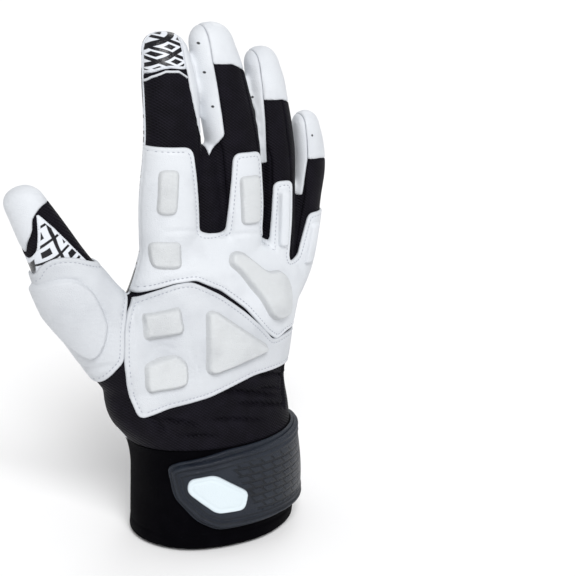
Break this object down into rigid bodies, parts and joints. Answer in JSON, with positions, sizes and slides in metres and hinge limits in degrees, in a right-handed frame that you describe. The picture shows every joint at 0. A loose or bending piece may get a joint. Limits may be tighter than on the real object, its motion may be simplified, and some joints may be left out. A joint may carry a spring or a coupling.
{
  "type": "receiver glove",
  "caption": "Right-hand padded sports glove with leather panels, foam pads, mesh between the fingers, printed grip palm and a wrist strap, held open as worn.",
  "frame": {"origin": "centre of the wrist opening, in the plane of the cuff's rim", "axes": "+Z from the wrist to the fingertips, +Y from the back of the hand to the palm, -X to the thumb"},
  "size_m": [0.1631, 0.0703, 0.2436],
  "materials": {
    "neoprene": "matt knitted face",
    "mesh_cloth": "fine diagonal knit",
    "grip_print": "tacky coated cloth with a black and white print",
    "leather": "smooth white synthetic leather",
    "pad_leather": "white synthetic leather, slightly worn",
    "rubber": "moulded, satin",
    "badge_white": "satin"
  },
  "bodies": {
    "root": {"cuff": "neoprene", "palm_panel": "grip_print", "index_tip_wrap": "grip_print", "thumb_print_panel": "grip_print", "back_mesh": "mesh_cloth", "index_middle_gusset": "mesh_cloth", "middle_ring_gusset": "mesh_cloth", "ring_pinky_gusset": "mesh_cloth", "index_side_strip": "leather", "middle_fourchette": "leather", "ring_fourchette": "leather", "pinky_fourchette": "leather", "middle_tip_cap": "leather", "ring_tip_cap": "leather", "pinky_tip_cap": "leather", "thumb_tip_cap": "leather", "knuckle_panel": "leather", "hand_back_panel": "leather", "thumb_base_panel": "leather", "index_tip_piping": "leather", "index_finger_pad": "pad_leather", "middle_finger_pad": "pad_leather", "ring_finger_pad": "pad_leather", "pinky_finger_pad": "pad_leather", "index_knuckle_pad": "pad_leather", "knuckle_chevron_pad": "pad_leather", "upper_hand_pad": "pad_leather", "lower_hand_pad": "pad_leather", "hand_triangle_pad": "pad_leather", "thumb_base_pad": "pad_leather", "strap_base": "rubber", "strap_cover": "rubber", "strap_badge": "badge_white"}
  },
  "joints": []
}
